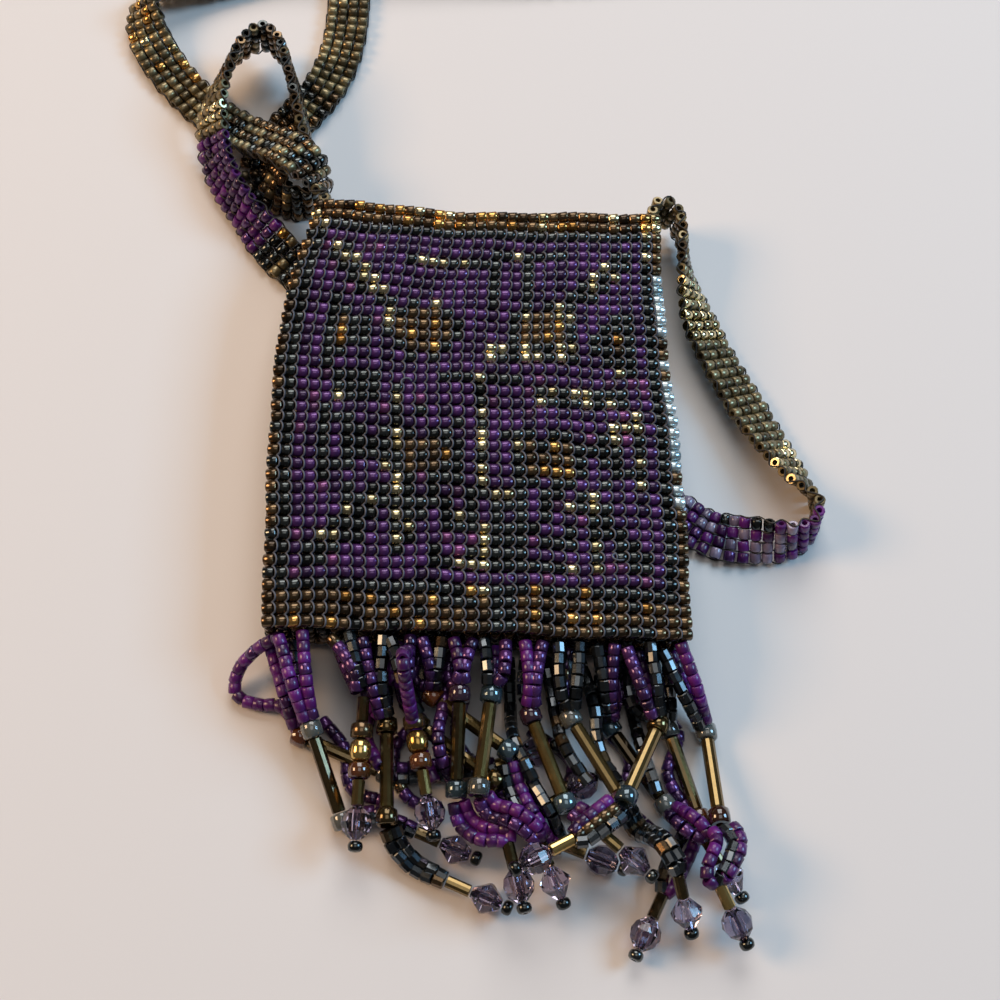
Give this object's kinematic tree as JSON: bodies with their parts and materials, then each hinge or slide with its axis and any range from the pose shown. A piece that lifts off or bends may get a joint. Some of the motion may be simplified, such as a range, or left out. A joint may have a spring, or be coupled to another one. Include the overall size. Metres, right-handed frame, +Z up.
{
  "type": "beaded medicine bag",
  "caption": "small loomed bead pouch lying on its back, with an open mouth, a fringe of beaded tassels ending in faceted crystals, and a long woven bead neck strap",
  "frame": {"origin": "on the floor under the middle of the box round the bag and its fringe, without the neck strap", "axes": "+X across the bag to the right, +Y along the bag from the fringe to the mouth, +Z up out of the front panel"},
  "size_m": [0.1035, 0.22, 0.011],
  "materials": {
    "woven_beads": "glossy",
    "long_bugles": "metallic lustre",
    "crystal_drops": "faceted, glossy"
  },
  "bodies": {
    "root": {"front_panel": "woven_beads", "back_panel": "woven_beads", "side_band": "woven_beads", "neck_strap": "woven_beads", "tassel_01_upper_strands": "woven_beads", "tassel_01_bugle": "long_bugles", "tassel_01_lower_strands": "woven_beads", "tassel_01_drop": "crystal_drops", "tassel_02_upper_strands": "woven_beads", "tassel_02_bugle": "long_bugles", "tassel_02_lower_strands": "woven_beads", "tassel_02_drop": "crystal_drops", "tassel_03_upper_strands": "woven_beads", "tassel_03_bugle": "long_bugles", "tassel_03_lower_strands": "woven_beads", "tassel_03_drop": "crystal_drops", "tassel_04_upper_strands": "woven_beads", "tassel_04_bugle": "long_bugles", "tassel_04_lower_strands": "woven_beads", "tassel_04_drop": "crystal_drops", "tassel_05_upper_strands": "woven_beads", "tassel_05_bugle": "long_bugles", "tassel_05_lower_strands": "woven_beads", "tassel_05_drop": "crystal_drops", "tassel_06_upper_strands": "woven_beads", "tassel_06_bugle": "long_bugles", "tassel_06_lower_strands": "woven_beads", "tassel_06_drop": "crystal_drops", "tassel_07_upper_strands": "woven_beads", "tassel_07_bugle": "long_bugles", "tassel_07_lower_strands": "woven_beads", "tassel_07_drop": "crystal_drops", "tassel_08_upper_strands": "woven_beads", "tassel_08_bugle": "long_bugles", "tassel_08_lower_strands": "woven_beads", "tassel_08_drop": "crystal_drops", "tassel_09_upper_strands": "woven_beads", "tassel_09_bugle": "long_bugles", "tassel_09_lower_strands": "woven_beads", "tassel_09_drop": "crystal_drops", "tassel_10_upper_strands": "woven_beads", "tassel_10_bugle": "long_bugles", "tassel_10_lower_strands": "woven_beads", "tassel_10_drop": "crystal_drops", "tassel_11_upper_strands": "woven_beads", "tassel_11_bugle": "long_bugles", "tassel_11_lower_strands": "woven_beads", "tassel_11_drop": "crystal_drops", "tassel_12_upper_strands": "woven_beads", "tassel_12_bugle": "long_bugles", "tassel_12_lower_strands": "woven_beads", "tassel_12_drop": "crystal_drops", "tassel_13_upper_strands": "woven_beads", "tassel_13_bugle": "long_bugles", "tassel_13_lower_strands": "woven_beads", "tassel_13_drop": "crystal_drops", "short_tassel_1_strand": "woven_beads", "short_tassel_1_bead_run": "crystal_drops", "short_tassel_2_strand": "woven_beads", "short_tassel_2_bead_run": "crystal_drops"}
  },
  "joints": []
}
